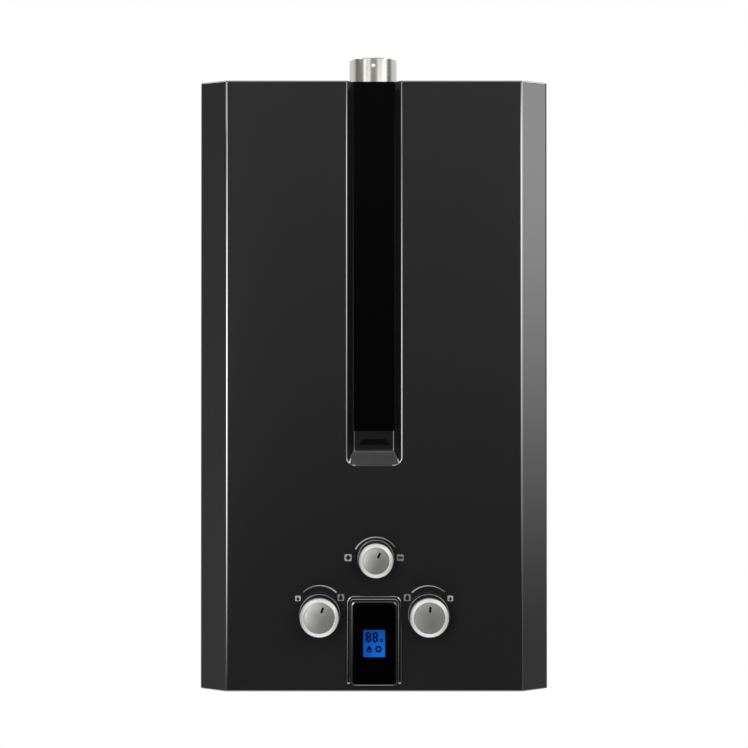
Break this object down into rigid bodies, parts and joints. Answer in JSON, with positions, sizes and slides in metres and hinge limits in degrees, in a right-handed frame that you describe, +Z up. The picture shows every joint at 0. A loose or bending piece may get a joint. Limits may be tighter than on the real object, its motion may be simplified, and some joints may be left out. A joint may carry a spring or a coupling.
{
  "type": "gas water heater",
  "caption": "Wall-hung instantaneous gas water heater with a bevelled dark case, recessed flame window, lit display, turning control knobs, fan-assisted flue collar and pipe connections.",
  "frame": {"origin": "centre of the four wall holes, on the wall plane, level with the middle of the case", "axes": "+Z up, +Y into the wall, so the front faces -Y and +X is to the right seen from the front"},
  "size_m": [0.3544, 0.188, 0.6648],
  "materials": {
    "cover_paint": "satin dark grey stove enamel",
    "plated_sheet": "zinc-plated sheet steel",
    "flue_steel": "bright drawn steel",
    "gloss_black": "piano-black gloss",
    "sight_glass": "smoked heat-resistant glass",
    "lcd": "backlit blue",
    "black_plastic": "moulded black",
    "board_green": "printed circuit board",
    "cap_silver": "satin turned face with a bright chamfer",
    "brass": "machined",
    "copper": null,
    "cast_aluminium": "die cast",
    "motor_paint": "blue-grey enamel",
    "steel": "machined steel",
    "coil": "varnished winding",
    "rubber": "moulded rubber",
    "hose": "silicone hose",
    "pale_plastic": "moulded off-white",
    "ceramic": "white ceramic"
  },
  "bodies": {
    "case": {"back_plate": "plated_sheet", "top_plate": "plated_sheet", "bottom_plate": "plated_sheet", "front_cover": "cover_paint", "gloss_strip": "gloss_black", "window_pane": "sight_glass", "display_bezel": "gloss_black", "display_lens": "gloss_black", "lcd_panel": "lcd", "display_housing": "black_plastic", "display_board": "board_green", "knob_rings": "gloss_black", "flue_collar": "flue_steel", "fan_scroll": "plated_sheet", "fan_motor": "motor_paint", "flue_hood": "copper", "chamber": "copper", "exchanger_fins": "copper", "exchanger_tubes": "copper", "burner_frame": "plated_sheet", "burner_blades": "steel", "gas_manifold": "cast_aluminium", "gas_nozzles": "brass", "saver_valve_body": "cast_aluminium", "gas_feed_pipe": "steel", "gas_valve_body": "cast_aluminium", "gas_valve_cap": "cast_aluminium", "valve_spring": "steel", "diaphragm": "rubber", "diaphragm_cover": "brass", "water_valve_body": "brass", "gland_nuts": "brass", "solenoid_coil": "coil", "microswitch": "black_plastic", "riser_pipe": "copper", "hot_pipe": "copper", "pipe_fittings": "brass", "pipe_nuts": "brass", "cord_gland": "black_plastic", "control_box": "pale_plastic", "pressure_switch": "pale_plastic", "pressure_hose": "hose", "electrodes": "ceramic", "thermal_cutout": "steel", "drain_plug": "brass", "screws": "steel"},
    "gas_control": {"gas_knob": "black_plastic", "gas_knob_cap": "cap_silver", "gas_spindle": "brass"},
    "saver_control": {"saver_knob": "black_plastic", "saver_knob_cap": "cap_silver", "saver_spindle": "brass"},
    "water_control": {"water_knob": "black_plastic", "water_knob_cap": "cap_silver", "water_spindle": "brass"},
    "fan_rotor": {"fan_impeller": "plated_sheet", "motor_rotor": "steel"},
    "valve_rod": {"push_rod": "steel"},
    "lever": {"switch_lever": "steel"},
    "plunger": {"solenoid_plunger": "steel"}
  },
  "joints": [
    {"name": "gas_turn", "type": "hinge", "parent": "case", "child": "gas_control", "pos_m": [-0.0545, -0.168, -0.229], "axis": [0, 1, 0], "range_deg": [-73, 31]},
    {"name": "saver_turn", "type": "hinge", "parent": "case", "child": "saver_control", "pos_m": [0.0017, -0.168, -0.1727], "axis": [0, 1, 0], "range_deg": [-113, 57]},
    {"name": "water_turn", "type": "hinge", "parent": "case", "child": "water_control", "pos_m": [0.0545, -0.168, -0.229], "axis": [0, 1, 0], "range_deg": [-58, 47]},
    {"name": "fan_spin", "type": "hinge", "parent": "case", "child": "fan_rotor", "pos_m": [-0.0497, -0.084, 0.2242], "axis": [0, 1, 0], "continuous": true},
    {"name": "rod_slide", "type": "slide", "parent": "case", "child": "valve_rod", "axis": [-1, 0, 0], "range_m": [0, 0.004], "stiffness_N_per_m": 800, "springref_m": -0.01, "deforming": ["valve_spring", "diaphragm"]},
    {"name": "lever_swing", "type": "hinge", "parent": "case", "child": "lever", "pos_m": [-0.0007, -0.072, -0.214], "axis": [0, 1, 0], "range_deg": [0, 30]},
    {"name": "plunger_slide", "type": "slide", "parent": "case", "child": "plunger", "axis": [0, 0, 1], "range_m": [0, 0.003], "stiffness_N_per_m": 300, "springref_m": -0.006}
  ],
  "couplings": [
    {"joint": "lever_swing", "follows": "rod_slide", "rad_per_m": 126.5}
  ]
}
